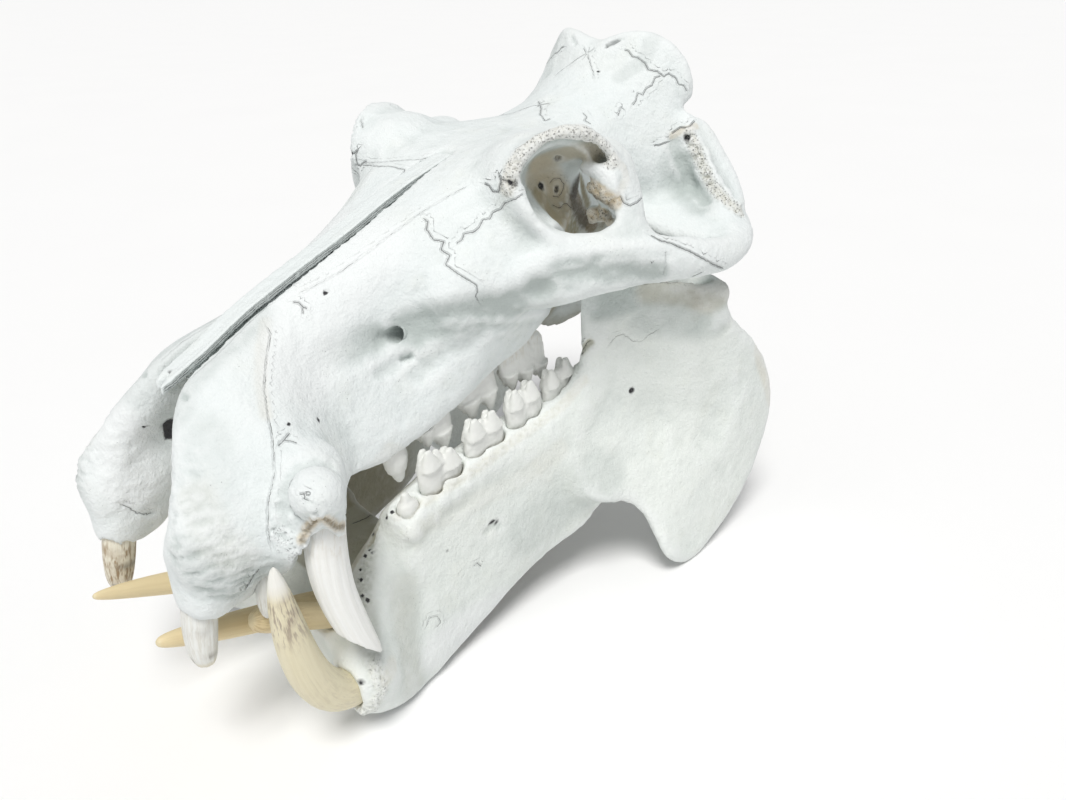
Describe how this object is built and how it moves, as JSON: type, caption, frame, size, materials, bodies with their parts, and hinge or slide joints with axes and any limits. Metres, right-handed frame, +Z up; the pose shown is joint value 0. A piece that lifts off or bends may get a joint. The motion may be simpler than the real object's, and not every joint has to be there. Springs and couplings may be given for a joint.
{
  "type": "hippo skull",
  "caption": "Bleached hippopotamus skull with its lower jaw closed under it, open eye sockets, cheek arches, tusks, incisors and cheek teeth; stands on its chin and the hooks of the jaw.",
  "frame": {"origin": "on the table, at the centre of the footprint, between the chin and the hooks of the jaw", "axes": "-Y is the way the snout points, +X is the animal's left side, +Z is up as it stands on a table"},
  "size_m": [0.3473, 0.5644, 0.4469],
  "materials": {
    "bleached_bone": "matte",
    "jaw_bone": "matte",
    "white_enamel": "satin",
    "cream_ivory": "satin",
    "stained_ivory": "satin"
  },
  "bodies": {
    "root": {"cranium": "bleached_bone", "mandible": "jaw_bone", "upper_left_canine": "white_enamel", "upper_left_first_incisor": "white_enamel", "upper_left_second_incisor": "white_enamel", "lower_left_canine": "stained_ivory", "lower_left_first_incisor": "cream_ivory", "lower_left_second_incisor": "cream_ivory", "upper_left_second_premolar": "white_enamel", "upper_left_third_premolar": "white_enamel", "upper_left_fourth_premolar": "white_enamel", "upper_left_molar": "white_enamel", "lower_left_second_premolar": "white_enamel", "lower_left_third_premolar": "white_enamel", "lower_left_fourth_premolar": "white_enamel", "lower_left_first_molar": "white_enamel", "lower_left_second_molar": "white_enamel", "upper_right_canine": "white_enamel", "upper_right_first_incisor": "white_enamel", "upper_right_second_incisor": "white_enamel", "lower_right_canine": "stained_ivory", "lower_right_first_incisor": "cream_ivory", "lower_right_second_incisor": "cream_ivory", "upper_right_second_premolar": "white_enamel", "upper_right_third_premolar": "white_enamel", "upper_right_fourth_premolar": "white_enamel", "upper_right_molar": "white_enamel", "lower_right_second_premolar": "white_enamel", "lower_right_third_premolar": "white_enamel", "lower_right_fourth_premolar": "white_enamel", "lower_right_first_molar": "white_enamel", "lower_right_second_molar": "white_enamel"}
  },
  "joints": []
}
